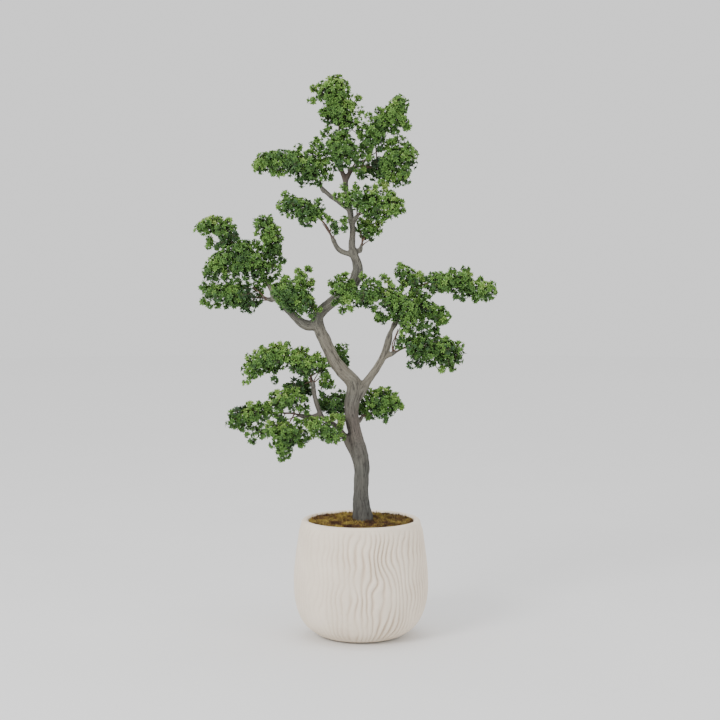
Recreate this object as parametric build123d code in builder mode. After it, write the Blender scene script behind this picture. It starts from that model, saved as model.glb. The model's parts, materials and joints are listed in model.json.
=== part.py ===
from build123d import *
import math
import os

# Artificial tabletop tree: a carved fibre-clay planter weighted with cement, a foam disc and a moss mat,
# a moulded trunk on a steel rod, moulded limbs, and wire-cored leaf sprays bent by hand at their roots.
# Millimetres, +Z up. Origin: centre of the planter's underside. The tree's front faces -Y.

# planter
POT_HEIGHT = 178
POT_WALL = 10
POT_FLOOR = 10
FOOT_RADIUS = 44
RIM_RADIUS = 89.5
# (radius, height) of the outer wall, from the rounded foot to the root of the lip
POT_PROFILE = [(66, 5), (80.5, 15), (91, 29), (98.8, 52), (101.5, 78), (100.5, 104), (96.5, 138), (92.8, 163)]

# (radius, height) of the cavity's wall, from the neck to the floor's edge
CAVITY_PROFILE = [(83, 163), (87, 140), (90, 110), (91.5, 78), (90, 54), (84, 33), (74, 18),
                  (60, POT_FLOOR)]

# what fills the planter
BALLAST_TOP = 60
FOAM_TOP = 160
MOSS_EDGE = 173
MOSS_CROWN = 175
FILL_CLEARANCE = 0.6
ROD_RADIUS = 4
ROD_FOOT = 16
ROD_TIP = 290

# joints between limbs and sprays
BALL_RADIUS = 2.4
SOCKET_CLEARANCE = 0.3
COLLAR_RADIUS = 3.7
STEM_RADIUS = 1.3
TWIG_RADIUS = 1.0
LOBE_SIDES = 9  # a leaf lobe is a faceted ball: rings of this many corners
# (share of the lobe's radius, height as a share of the lobe's radius) of each ring
LOBE_RINGS = [(0.45, -0.92), (0.92, -0.45), (0.99, 0.2), (0.62, 0.82)]

# routes of the wood: (x, y, z, radius) along each centre line
TRUNK = [(2, 0, 160, 18), (2, 0, 174, 15), (2, 0, 190, 14.2), (0, 0, 206, 12.3), (0, 0, 225, 11.3),
         (1.5, 0, 250, 11.3), (0, 0, 270, 11.6), (-6, 0, 297, 10.6), (-13, 0, 326, 10.4),
         (-14, 0, 350, 11), (-10, 0, 370, 12), (-12, 0, 385, 12), (-24, 0, 397, 10.6),
         (-39, 0, 415, 9.8), (-51, 0, 440, 9.6), (-60, 0, 459, 9.2), (-65, 0, 475, 9.4),
         (-61, 0, 488, 9), (-50, 0, 499, 8.4), (-34, 0, 511, 8.3), (-16, 0, 526, 8.4), (-6, 0, 545, 9),
         (-6, 0, 562, 7.4), (-12, 0, 579, 6.2), (-13, 0, 598, 5), (-13, 0, 619, 4.6),
         (-15, 0, 634, 4.6), (-19, 0, 653, 4.4), (-22, 0, 671, 4.1), (-23, 0, 688, 4)]
# the trunk is moulded in four lengths that meet at its forks: the points where each begins and ends
TRUNK_LENGTHS = {"trunk_lower": (0, 11), "trunk_middle": (11, 16), "trunk_upper": (16, 26), "leader": (26, 29)}
LIMBS = {
    "lower_left_limb": [(-2, 0, 252, 7), (-11, 0, 266, 6), (-19, 0, 284, 5.2), (-26, 0, 298, 4.8),
                        (-35, 0, 315, 4.5), (-47, 0, 324, 4.2), (-59, 0, 331, 4.2), (-72, 0, 332.5, 4)],
    "left_limb": [(-64, 0, 469, 7.2), (-74, 0, 469, 8.2), (-85, 0, 471, 7.8), (-96, 0, 480, 6.8),
                  (-106, 0, 489.5, 6.1), (-116, 0, 500, 5.6), (-125, 0, 509, 5.2), (-132, 0, 521, 4.8)],
    "right_limb": [(-12, 0, 348, 6.8), (-5, 0, 363, 8.2), (4, 0, 378, 8), (12, 0, 389, 6.3), (20, 0, 400, 5.8),
                   (31, 0, 418, 5.7), (37, 0, 432, 5.6), (42, 0, 450, 5.2), (49, 0, 469, 4.9)],
    "small_left_limb": [(-8, 0, 571, 3.9), (-20, 0, 576.5, 4.1), (-31, 0, 581, 4), (-37, 0, 588, 3.9)],
    "top_left_limb": [(-17, 0, 641, 3.5), (-25, 0, 647, 3.9), (-34, 0, 654, 3.9), (-46, 0, 662, 3.8)],
}
LIMB_FORK = [(-56, 0, 328, 3.2), (-61, 0, 337, 3.9), (-66, 0, 350, 3.8), (-69, 0, 361, 3.7), (-71, 0, 373, 3.7)]

# sprays: the collar's root on the limb and its root radius, the ball's centre, the wires beyond the ball
# (the first is the main one), and the lobes (x, y, z, radius) of each leaf mass
SPRAYS = {
    "crown_main": dict(
        limb="leader", root=(-23, 0, 684), root_radius=3.8, ball=(-30, -1, 703),
        wires=[[(-33, -2, 735), (-33, -3, 765), (-36, -4, 800)],
               [(-31, -1, 713), (-28, -15, 722), (-18, -20, 729)],
               [(-33, -3, 765), (-22, 1, 788)]],
        leaves={"crown_tip": [(-49, -4, 815, 14), (-31, -4, 826, 13), (-37, -4, 800, 14),
                              (-20, 2, 793, 12), (-46, -4, 783, 10), (-24, -4, 773, 12)],
                "crown_heart": [(-39, -20, 735, 12), (-26, -21, 714, 11), (-18, -20, 729, 12),
                                (-29, -10, 748, 10)]}),
    "crown_right": dict(
        limb="leader", root=(-23, 0, 684), root_radius=3.8, ball=(-14, 3, 702),
        wires=[[(0, 8, 707), (24, 14, 704), (45, 4, 712), (64, 0, 718)],
               [(24, 14, 704), (22, 4, 735), (20, -1, 755), (44, 0, 778)]],
        leaves={"crown_horn": [(55, 0, 796, 12), (44, 0, 779, 13), (60, -5, 773, 9), (27, -2, 769, 11),
                               (21, -2, 752, 13), (11, -2, 741, 9)],
                "crown_wing": [(50, 0, 721, 13), (67, 0, 727, 12), (71, 0, 709, 10), (37, 6, 706, 12),
                               (41, 0, 691, 11), (61, 0, 691, 10), (22, 20, 701, 10), (10, 22, 704, 9)]}),
    "crown_left": dict(
        limb="top_left_limb", root=(-42, 0, 659), root_radius=3.5, ball=(-57, 0, 672),
        wires=[[(-68, -2, 688), (-84, -3, 704), (-102, -4, 711), (-122, 0, 711), (-142, 2, 711)],
               [(-68, -2, 688), (-66, -4, 704)]],
        leaves={"crown_left_leaves": [(-147, 2, 709, 12), (-132, 2, 717, 12), (-118, 2, 710, 10),
                                      (-103, -4, 715, 12), (-88, -4, 708, 13), (-87, -4, 692, 9),
                                      (-72, -4, 716, 12), (-69, -4, 700, 11), (-62, -4, 708, 9)]}),
    "crown_low": dict(
        limb="trunk_upper", root=(-13, 0, 620), root_radius=4, ball=(-7, -11, 630),
        wires=[[(2, -20, 642), (20, -23, 648), (44, -23, 652)],
               [(2, -20, 642), (-8, -26, 652), (-20, -27, 657)]],
        leaves={"low_crown_leaves": [(-22, -27, 656, 10), (-5, -26, 658, 11), (5, -25, 646, 10),
                                     (19, -22, 657, 12), (22, -22, 641, 12), (40, -22, 656, 12),
                                     (50, -22, 646, 12)]}),
    "small_left": dict(
        limb="small_left_limb", root=(-36, 0, 585), root_radius=3.7, ball=(-41, 0, 596),
        wires=[[(-50, -1, 615), (-64, -2, 630), (-86, -2, 638), (-104, -2, 648)],
               [(-46, -1, 609), (-44, -9, 615), (-41, -14, 620)]],
        leaves={"small_left_leaves": [(-114, -2, 647, 9), (-101, -2, 650, 12), (-86, -2, 640, 12),
                                      (-71, -2, 641, 9), (-78, -2, 627, 8)]}),
    "small_right": dict(
        limb="trunk_upper", root=(-11, 0, 576), root_radius=5, ball=(-1, 2, 583),
        wires=[[(3, 8, 597), (9, 12, 607), (18, 14, 614)]],
        leaves={"small_right_leaves": [(6, 14, 614, 8), (18, 14, 612, 10), (18, 14, 601, 6)]}),
    "left_main": dict(
        limb="left_limb", root=(-132, 0, 521), root_radius=4.7, ball=(-139, 0, 534),
        wires=[[(-150, 0, 548), (-167, -1, 562), (-192, -2, 570), (-214, -2, 560)],
               [(-167, -1, 562), (-190, 1, 590), (-206, 3, 610), (-222, 4, 620)],
               [(-147, 0, 544), (-137, 5, 570), (-133, 8, 595), (-139, 8, 614)]],
        leaves={"plume_outer": [(-235, 4, 617, 10), (-219, 4, 621, 11), (-205, 4, 612, 11),
                                (-198, 4, 601, 8)],
                "plume_inner": [(-151, 8, 623, 8), (-139, 8, 615, 10), (-131, 8, 600, 11),
                                (-134, 8, 583, 12)],
                "left_dome": [(-219, -2, 555, 12), (-207, -2, 568, 13), (-190, -2, 577, 12),
                              (-173, -2, 581, 12), (-183, -2, 562, 13), (-162, -2, 566, 12),
                              (-153, -2, 553, 10), (-141, -2, 556, 9)]}),
    "left_low": dict(
        limb="left_limb", root=(-124, 0, 509), root_radius=4.2, ball=(-136, 2, 508),
        wires=[[(-150, 0, 511), (-172, -3, 511), (-200, -4, 515), (-218, -4, 517)],
               [(-172, -3, 511), (-186, -4, 505)]],
        leaves={"left_skirt": [(-225, -4, 518, 9), (-210, -4, 516, 11), (-193, -4, 518, 11),
                               (-186, -4, 505, 10), (-172, -4, 511, 10)]}),
    "left_front": dict(
        limb="left_limb", root=(-104, 0, 487), root_radius=4.6, ball=(-107, -11, 494),
        wires=[[(-104, -20, 505), (-97, -25, 520), (-90, -25, 538)], [(-104, -20, 505), (-117, -25, 520)],
               [(-104, -20, 505), (-88, -25, 504), (-76, -25, 500)]],
        leaves={"left_front_leaves": [(-118, -26, 523, 11), (-106, -26, 512, 12), (-94, -26, 526, 12),
                                      (-89, -26, 541, 9), (-91, -26, 506, 12), (-76, -26, 500, 9)]}),
    "right_end": dict(
        limb="right_limb", root=(49, 0, 469), root_radius=4.8, ball=(56, 0, 482),
        wires=[[(62, -4, 497), (45, -20, 507), (20, -33, 514), (-4, -38, 519), (-24, -38, 516)],
               [(62, -4, 497), (74, 3, 520), (72, 6, 541)],
               [(74, 3, 520), (100, 0, 533), (130, 0, 534), (160, 0, 527), (188, 0, 520)],
               [(62, -4, 497), (84, 5, 492), (100, 4, 492), (116, 4, 484)]],
        leaves={"trunk_veil": [(-31, -38, 527, 10), (-21, -38, 514, 12), (-2, -37, 520, 11), (14, -34, 516, 11)],
                "right_heart": [(37, -21, 510, 11), (53, -21, 503, 14), (71, -21, 496, 14), (71, -21, 477, 11)],
                "right_crest": [(61, 6, 547, 9), (75, 6, 541, 10), (83, 6, 528, 8)],
                "far_right": [(109, 0, 536, 10), (127, 0, 533, 13), (146, 0, 536, 13), (161, 0, 525, 11),
                              (176, 0, 522, 13), (190, 0, 519, 9)],
                "right_shoulder": [(98, 4, 494, 10), (112, 4, 485, 10), (126, 4, 482, 7)]}),
    "right_low": dict(
        limb="right_limb", root=(35, 0, 422), root_radius=4.4, ball=(47, 0, 427),
        wires=[[(62, -3, 435), (84, -8, 438), (110, -3, 434), (138, -2, 432)],
               [(84, -8, 438), (93, -9, 427)]],
        leaves={"right_low_leaves": [(75, -9, 443, 9), (89, -9, 440, 12), (94, -9, 425, 10),
                                     (80, -9, 423, 9), (111, -3, 433, 12), (132, -2, 436, 12),
                                     (128, -2, 420, 12), (145, -2, 430, 8)]}),
    "lower_upper": dict(
        limb="lower_left_limb", root=(-70, 0, 368), root_radius=3.7, ball=(-72, 0, 381),
        wires=[[(-75, 0, 393), (-90, -2, 410), (-118, -5, 422), (-150, -6, 415)], [(-75, 0, 393), (-68, -3, 408)],
               [(-75, 0, 393), (-56, 18, 403), (-30, 31, 413)], [(-73, 0, 386), (-83, 14, 381), (-96, 23, 375)]],
        leaves={"upper_tier_tip": [(-163, -6, 406, 11), (-152, -6, 418, 12), (-136, -6, 422, 13),
                                   (-118, -6, 427, 12)],
                "upper_tier_mid": [(-94, -4, 419, 11), (-79, -4, 410, 12), (-67, -4, 413, 9)],
                "behind_trunk": [(-30, 32, 422, 9), (-30, 32, 408, 9)],
                "upper_tier_shade": [(-91, 24, 374, 9), (-104, 24, 373, 9)]}),
    "lower_left": dict(
        limb="lower_left_limb", root=(-66, 0, 332), root_radius=3.8, ball=(-88, 0, 333),
        wires=[[(-99, -4, 337), (-130, 0, 338), (-160, 2, 337), (-184, 2, 331)],
               [(-99, -4, 337), (-105, -12, 350), (-110, -14, 359)],
               [(-99, -4, 337), (-109, -6, 320), (-115, -6, 300), (-117, -6, 282)]],
        leaves={"mid_tier_mass": [(-127, -14, 352, 8), (-112, -14, 361, 11), (-96, -14, 361, 9)],
                "mid_tier_tip": [(-188, 2, 330, 7), (-174, 2, 333, 10), (-156, 2, 338, 11)],
                "mid_tier_hang": [(-133, -6, 313, 9), (-116, -6, 312, 12), (-98, -6, 309, 11),
                                  (-115, -6, 291, 12), (-117, -6, 277, 7)]}),
    "lower_front": dict(
        limb="lower_left_limb", root=(-46, 0, 323), root_radius=3.8, ball=(-49, -11, 322),
        wires=[[(-54, -19, 320), (-70, -26, 323)], [(-54, -19, 320), (-44, -26, 310)]],
        leaves={"front_leaves": [(-74, -27, 323, 9), (-58, -27, 316, 9), (-43, -27, 309, 9)]}),
    "lower_back": dict(
        limb="lower_left_limb", root=(-31, 0, 309), root_radius=4, ball=(-33, 11, 317),
        wires=[[(-35, 19, 330), (-42, 24, 347)]],
        leaves={"back_leaves": [(-49, 25, 348, 10), (-34, 25, 347, 10), (-35, 25, 359, 8)]}),
    "lower_right": dict(
        limb="trunk_lower", root=(-12, 0, 322), root_radius=5, ball=(-1, 13, 327),
        wires=[[(8, 19, 338), (22, 20, 350), (44, 20, 354)]],
        leaves={"lower_right_leaves": [(15, 20, 357, 10), (33, 20, 361, 11), (47, 20, 351, 12),
                                       (18, 20, 340, 9), (35, 20, 342, 11)]}),
}

os.makedirs("parts", exist_ok=True)


def save(piece, label):
    piece.part.label = label
    export_step(piece.part, f"parts/{label}.step")


def direction(start, end):
    return (Vector(*end) - Vector(*start)).normalized()


def loft_route(route, first=0, last=None):
    """Round sections square to a route, lofted into one smooth length from its point first to its point last."""
    last = len(route) - 1 if last is None else last
    sections = []
    for i in range(first, last + 1):
        before, after = route[max(i - 1, 0)], route[min(i + 1, len(route) - 1)]
        along = direction(before[:3], after[:3])
        with BuildSketch(Plane(origin=route[i][:3], x_dir=(0, 1, 0), z_dir=along)) as section:
            Circle(route[i][3])
        sections.append(section.sketch)
    loft(sections=sections)


def lobe(centre, radius, turn):
    """One faceted ball of leaves, tilted and turned so that neighbours never line up."""
    tilted = Plane(origin=centre, z_dir=(0.2 * math.sin(turn), 0.25 * math.cos(1.7 * turn), 1))
    rings = []
    for share, height in LOBE_RINGS:
        with BuildSketch(tilted.offset(height * radius)) as ring:
            RegularPolygon(share * radius, LOBE_SIDES, rotation=math.degrees(turn))
        rings.append(ring.sketch)
    loft(sections=rings, ruled=True)


def straight_run(start, end, radius, end_radius):
    """A straight cylinder or cone from start to end."""
    length = (Vector(*end) - Vector(*start)).length
    with Locations(Plane(origin=start, z_dir=direction(start, end))):
        if radius == end_radius:
            Cylinder(radius, length, align=(Align.CENTER, Align.CENTER, Align.MIN))
        else:
            Cone(radius, end_radius, length, align=(Align.CENTER, Align.CENTER, Align.MIN))


# ---------------------------------------------------------------- planter and its filling
lip_root = POT_HEIGHT - POT_WALL / 2
with BuildPart() as pot:
    with BuildSketch(Plane.XZ):
        with BuildLine():
            outer = Spline(*POT_PROFILE, (RIM_RADIUS, lip_root), tangents=[(1, 0.6), (-0.3, 1)])
            Line((0, 0), (FOOT_RADIUS, 0))
            TangentArc((FOOT_RADIUS, 0), outer @ 0, tangent=(1, 0))
            lip = ThreePointArc(outer @ 1, (RIM_RADIUS - POT_WALL / 2, POT_HEIGHT),
                                (RIM_RADIUS - POT_WALL, lip_root))
            inner = Spline(lip @ 1, *CAVITY_PROFILE, tangents=[(0.1, -1), (-1, -0.1)])
            Line(inner @ 1, (0, POT_FLOOR))
            Line((0, POT_FLOOR), (0, 0))
        make_face()
    revolve(axis=Axis.Z)
save(pot, "pot")

with BuildPart() as core_rod:
    with BuildSketch(Plane.XY.offset(ROD_FOOT)):
        Circle(ROD_RADIUS)
    extrude(amount=ROD_TIP - ROD_FOOT)
save(core_rod, "core_rod")

# the cement fills the cavity wall to wall up to its level
with BuildPart() as ballast:
    with BuildSketch(Plane.XZ):
        with BuildLine():
            neck = (RIM_RADIUS - POT_WALL, lip_root)
            side = Spline(neck, *CAVITY_PROFILE, tangents=[(0.1, -1), (-1, -0.1)])
            Polyline(side @ 1, (0, POT_FLOOR), (0, lip_root), neck)
        make_face()
        with Locations((0, BALLAST_TOP)):
            Rectangle(3 * RIM_RADIUS, POT_HEIGHT, align=(Align.CENTER, Align.MIN), mode=Mode.SUBTRACT)
    revolve(axis=Axis.Z)
    add(core_rod.part, mode=Mode.SUBTRACT)
save(ballast, "ballast")

fill_radius = RIM_RADIUS - POT_WALL - FILL_CLEARANCE
with BuildPart() as foam_disc:
    with BuildSketch(Plane.XY.offset(BALLAST_TOP)):
        Circle(fill_radius)
    extrude(amount=FOAM_TOP - BALLAST_TOP)
    add(core_rod.part, mode=Mode.SUBTRACT)
save(foam_disc, "foam_disc")

# ---------------------------------------------------------------- trunk and limbs
wood = {}
for label, (first, last) in TRUNK_LENGTHS.items():
    with BuildPart() as length:
        loft_route(TRUNK, first, last)
        add(core_rod.part, mode=Mode.SUBTRACT)
    wood[label] = length

with BuildPart() as moss_mat:
    with BuildSketch(Plane.XZ):
        with BuildLine():
            Polyline((0, MOSS_CROWN), (0, FOAM_TOP), (fill_radius, FOAM_TOP), (fill_radius, MOSS_EDGE))
            Spline((fill_radius, MOSS_EDGE), (fill_radius / 2, MOSS_CROWN - 1), (0, MOSS_CROWN),
                   tangents=[(-1, 0.2), (-1, 0)])
        make_face()
    revolve(axis=Axis.Z)
    add(wood["trunk_lower"].part, mode=Mode.SUBTRACT)
    add(core_rod.part, mode=Mode.SUBTRACT)
save(moss_mat, "moss_mat")

for label, route in LIMBS.items():
    with BuildPart() as limb:
        loft_route(route)
        if label == "lower_left_limb":
            loft_route(LIMB_FORK)
    wood[label] = limb

# every spray's collar grows out of its limb and ends in a socket for the ball
for label, piece in wood.items():
    sprays_here = [spray for spray in SPRAYS.values() if spray["limb"] == label]
    with piece:
        for spray in sprays_here:
            straight_run(spray["root"], spray["ball"], spray["root_radius"], COLLAR_RADIUS)
        for spray in sprays_here:
            with Locations(Plane(origin=spray["ball"], z_dir=direction(spray["root"], spray["ball"]))):
                Sphere(BALL_RADIUS + SOCKET_CLEARANCE, mode=Mode.SUBTRACT)
        if label in LIMBS:
            for trunk_length in TRUNK_LENGTHS:
                add(wood[trunk_length].part, mode=Mode.SUBTRACT)
            add(core_rod.part, mode=Mode.SUBTRACT)
            largest = piece.part.solids().sort_by(SortBy.VOLUME)[-1]
            add(largest, mode=Mode.REPLACE)
    save(piece, label)

# ---------------------------------------------------------------- sprays
for name, spray in SPRAYS.items():
    with BuildPart() as stem:
        main_wire = [spray["ball"]] + spray["wires"][0]
        with Locations(Plane(origin=main_wire[0], z_dir=direction(*main_wire[:2]))):
            Sphere(BALL_RADIUS)
        for wire in [main_wire] + spray["wires"][1:]:
            with BuildLine() as path:
                Polyline(*wire)
            with BuildSketch(Plane(origin=wire[0], z_dir=direction(*wire[:2]))):
                Circle(STEM_RADIUS if wire is main_wire else TWIG_RADIUS)
            sweep(path=path.wires()[0], transition=Transition.RIGHT)
    save(stem, f"{name}_stem")

    for label, lobes in spray["leaves"].items():
        with BuildPart() as leaves:
            for turn, (x, y, z, radius) in enumerate(lobes):
                lobe((x, y, z), radius, turn)
            add(stem.part, mode=Mode.SUBTRACT)
        save(leaves, label)
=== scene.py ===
import json
import math
import bpy
import numpy as np
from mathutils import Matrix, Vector


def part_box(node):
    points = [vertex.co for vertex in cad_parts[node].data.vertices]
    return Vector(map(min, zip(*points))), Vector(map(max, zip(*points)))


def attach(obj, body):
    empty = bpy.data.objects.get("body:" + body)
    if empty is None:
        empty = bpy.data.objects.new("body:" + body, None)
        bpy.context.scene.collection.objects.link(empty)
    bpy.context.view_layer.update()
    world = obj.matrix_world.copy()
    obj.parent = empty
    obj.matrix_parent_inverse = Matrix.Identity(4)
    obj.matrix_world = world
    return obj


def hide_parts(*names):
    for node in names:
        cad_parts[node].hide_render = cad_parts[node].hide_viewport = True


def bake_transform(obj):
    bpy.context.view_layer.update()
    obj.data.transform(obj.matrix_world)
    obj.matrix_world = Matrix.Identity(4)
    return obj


# Artificial tabletop tree. Everything is in metres, in the CAD frame; routes are written in millimetres.
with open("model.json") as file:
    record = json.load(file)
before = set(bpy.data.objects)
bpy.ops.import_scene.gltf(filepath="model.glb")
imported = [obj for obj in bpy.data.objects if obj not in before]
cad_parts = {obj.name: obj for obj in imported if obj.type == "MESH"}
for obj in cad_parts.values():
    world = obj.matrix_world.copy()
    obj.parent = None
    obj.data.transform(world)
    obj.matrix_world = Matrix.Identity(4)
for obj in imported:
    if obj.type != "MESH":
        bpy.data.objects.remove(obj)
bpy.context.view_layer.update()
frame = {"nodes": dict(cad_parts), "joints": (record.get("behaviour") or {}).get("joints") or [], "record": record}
MM = 0.001


# ------------------------------------------------------------------ numbers: noise, routes, meshes
def hashed(ix, iy, iz, seed):
    """A random-looking number from 0 to 65535 for each cell of the noise."""
    n = (ix * 73856093) ^ (iy * 19349663) ^ (iz * 83492791) ^ (seed * 2654435761)
    n = (n ^ (n >> 13)) * 1274126177 & 0x7FFFFFFF
    n = (n ^ (n >> 15)) * 668265263 & 0x7FFFFFFF
    return (n ^ (n >> 12)) & 0xFFFF


def noise(points, seed):
    """Smooth gradient noise, about -1 to 1, at an (n, 3) array of points."""
    cell = np.floor(points).astype(np.int64)
    f = points - cell
    u = f * f * f * (f * (f * 6 - 15) + 10)
    total = np.zeros(len(points))
    for corner in np.ndindex(2, 2, 2):
        dx, dy, dz = corner
        h = hashed(cell[:, 0] + dx, cell[:, 1] + dy, cell[:, 2] + dz, seed)
        a = h / 65536 * 2 * math.pi
        c = (h * 7919 % 65536) / 32768 - 1
        s = np.sqrt(np.maximum(0, 1 - c * c))
        d = f - corner
        g = s * np.cos(a) * d[:, 0] + s * np.sin(a) * d[:, 1] + c * d[:, 2]
        weight = 1.0
        for axis, step in enumerate(corner):
            weight = weight * (u[:, axis] if step else 1 - u[:, axis])
        total += weight * g
    return total * 1.6


def noise_vector(points, shifts, seed):
    """Three noises side by side, each taken at the points plus one of the shifts."""
    return np.stack([noise(points + shift, seed) for shift in shifts], -1)


def layered(points, octaves, seed):
    """Noise with finer and weaker noise on top."""
    total, size = np.zeros(len(points)), 1.0
    for k in range(octaves):
        total += noise(points * 2 ** k, seed + k) * size
        size *= 0.5
    return total


def unit(v):
    v = np.asarray(v, float)
    return v / np.maximum(np.linalg.norm(v, axis=-1, keepdims=True), 1e-12)


def smooth_route(points, step):
    """A Catmull-Rom curve through (x, y, z, r) points, resampled every step."""
    p = np.asarray(points, float)
    p = np.vstack([2 * p[0] - p[1], p, 2 * p[-1] - p[-2]])
    p[0, 3], p[-1, 3] = p[1, 3], p[-2, 3]
    out = []
    for i in range(1, len(p) - 2):
        n = max(2, int(np.linalg.norm(p[i + 1, :3] - p[i, :3]) / step))
        t = (np.arange(n) / n)[:, None]
        a, b, c, d = p[i - 1], p[i], p[i + 1], p[i + 2]
        square = (2 * a - 5 * b + 4 * c - d) * t ** 2
        cube = (3 * b - a - 3 * c + d) * t ** 3
        out.append(0.5 * (2 * b + (c - a) * t + square + cube))
    out.append(p[-2][None])
    return np.vstack(out)


def thin_route(points):
    """A curve through (x, y, z) points, resampled every 3 mm."""
    return smooth_route(np.column_stack([points, np.ones(len(points))]), 0.003)[:, :3]


def frames_along(centres):
    """Tangent and two side directions at each point of a route, carried along without twist."""
    t = unit(np.gradient(centres, axis=0))
    side = np.array([0.0, 1.0, 0.0])
    sides = []
    for d in t:
        side = side - d * np.dot(side, d)
        side = side / max(np.linalg.norm(side), 1e-9)
        sides.append(side)
    sides = np.array(sides)
    return t, sides, np.cross(t, sides)


def linked(name, mesh):
    """A smooth-shaded object of a mesh, in the scene."""
    mesh.shade_smooth()
    obj = bpy.data.objects.new(name, mesh)
    bpy.context.scene.collection.objects.link(obj)
    return obj


def mesh_object(name, verts, faces):
    """An object from points and faces with any number of corners."""
    mesh = bpy.data.meshes.new(name)
    mesh.from_pydata([tuple(v) for v in verts], [], [tuple(f) for f in faces])
    mesh.update()
    return linked(name, mesh)


def array_object(name, verts, faces):
    """An object from arrays, built without Python lists: faces is (n, 4) or (n, 3)."""
    mesh = bpy.data.meshes.new(name)
    verts, faces = np.asarray(verts, np.float32), np.asarray(faces, np.int32)
    mesh.vertices.add(len(verts))
    mesh.vertices.foreach_set("co", verts.ravel())
    mesh.loops.add(faces.size)
    mesh.loops.foreach_set("vertex_index", faces.ravel())
    mesh.polygons.add(len(faces))
    mesh.polygons.foreach_set("loop_start", np.arange(0, faces.size, faces.shape[1], dtype=np.int32))
    mesh.update(calc_edges=True)
    mesh.validate()
    return linked(name, mesh)


def mesh_values(items, name, width, kind=np.float32):
    """A value that each vertex, face or corner of a mesh has, as an array with one row for each."""
    values = np.empty(len(items) * width, kind)
    items.foreach_get(name, values)
    return values.reshape(-1, width)


def point_values(obj, name, values):
    """Gives each vertex a value, or three, that the material can read."""
    values = np.asarray(values, np.float32)
    kind = "FLOAT" if values.ndim == 1 else "FLOAT_VECTOR"
    attribute = obj.data.attributes.new(name, kind, "POINT")
    attribute.data.foreach_set("value" if values.ndim == 1 else "vector", values.ravel())


def ring_quads(rings, sides):
    """The quads between rings of points that follow one another, each ring closed."""
    i, j = np.meshgrid(np.arange(rings - 1), np.arange(sides), indexing="ij")
    k = (j + 1) % sides
    return np.stack([i * sides + j, i * sides + k, (i + 1) * sides + k, (i + 1) * sides + j], -1).reshape(-1, 4)


class Soup:
    """Gathers tubes and leaf shapes into one mesh."""

    def __init__(self):
        self.verts, self.faces, self.values, self.count = [], [], {}, 0

    def add(self, verts, faces, **values):
        self.verts.append(verts)
        self.faces.append(faces + self.count)
        for key, value in values.items():
            self.values.setdefault(key, []).append(np.broadcast_to(value, len(verts)))
        self.count += len(verts)

    def tube(self, points, radii, sides, **values):
        """A tube with rounded ends through points, given its radius at each."""
        points, radii = np.asarray(points, float), np.asarray(radii, float)
        t, side, up = frames_along(points)
        first, last = points[:1] - t[:1] * radii[0] * 0.6, points[-1:] + t[-1:] * radii[-1] * 0.6
        centres = np.vstack([first, points, last])
        r = np.concatenate([[radii[0] * 0.35], radii, [radii[-1] * 0.35]])
        side = np.vstack([side[:1], side, side[-1:]])
        up = np.vstack([up[:1], up, up[-1:]])
        a = np.arange(sides) / sides * 2 * math.pi
        ring = side[:, None] * np.cos(a)[None, :, None] + up[:, None] * np.sin(a)[None, :, None]
        verts = (centres[:, None] + ring * r[:, None, None]).reshape(-1, 3)
        verts = np.vstack([verts, centres[:1], centres[-1:]])
        quads = ring_quads(len(centres), sides)
        j = np.arange(sides)
        end = (len(centres) - 1) * sides
        near_cap = np.stack([np.full(sides, len(verts) - 2), (j + 1) % sides, j], -1)
        far_cap = np.stack([np.full(sides, len(verts) - 1), end + j, end + (j + 1) % sides], -1)
        self.add(verts, np.vstack([quads[:, [0, 1, 2]], quads[:, [0, 2, 3]], near_cap, far_cap]), **values)

    def build(self, name):
        obj = array_object(name, np.vstack(self.verts), np.vstack(self.faces))
        for key, value in self.values.items():
            point_values(obj, key, np.concatenate(value))
        return obj


# ------------------------------------------------------------------ materials
class Nodes:
    """Short hand for building a material's node tree."""

    def __init__(self, name, roughness):
        self.material = bpy.data.materials.new(name)
        self.material.use_nodes = True
        self.tree = self.material.node_tree
        self.shader = self.tree.nodes["Principled BSDF"]
        self.shader.inputs["Roughness"].default_value = roughness

    def node(self, kind, **settings):
        n = self.tree.nodes.new(kind)
        for key, value in settings.items():
            if hasattr(n, key):
                setattr(n, key, value)
            else:
                n.inputs[key].default_value = value
        return n

    def link(self, a, b):
        self.tree.links.new(a, b)

    def noise(self, vector, scale, detail, roughness=0.55):
        n = self.node("ShaderNodeTexNoise", Scale=scale, Detail=detail, Roughness=roughness)
        self.link(vector, n.inputs["Vector"])
        return n.outputs["Fac"]

    def ramp(self, value, stops):
        n = self.node("ShaderNodeValToRGB")
        elements = n.color_ramp.elements
        while len(elements) < len(stops):
            elements.new(0.5)
        for element, (place, colour) in zip(elements, stops):
            element.position = place
            element.color = (*colour, 1)
        self.link(value, n.inputs["Fac"])
        return n.outputs["Color"]

    def mix(self, factor, a, b):
        n = self.node("ShaderNodeMix", data_type="RGBA", blend_type="MIX")
        self.link(factor, n.inputs[0])
        for socket, colour in ((n.inputs[6], a), (n.inputs[7], b)):
            if isinstance(colour, tuple):
                socket.default_value = (*colour, 1)
            else:
                self.link(colour, socket)
        return n.outputs[2]

    def tinted(self, base, value, span, most, colour):
        """The base with a colour over it: none where a value is at the span's start, the most at its end."""
        return self.mix(self.ramp(value, [(span[0], grey(0)), (span[1], grey(most))]), base, colour)

    def attribute(self, name, output="Fac"):
        return self.node("ShaderNodeAttribute", attribute_name=name).outputs[output]

    def place(self):
        return self.node("ShaderNodeTexCoord").outputs["Object"]

    def bump(self, height, strength, distance):
        n = self.node("ShaderNodeBump", Strength=strength, Distance=distance)
        self.link(height, n.inputs["Height"])
        self.link(n.outputs["Normal"], self.shader.inputs["Normal"])

    def colour(self, output):
        self.link(output, self.shader.inputs["Base Color"])


def grey(value):
    return (value, value, value)


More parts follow.
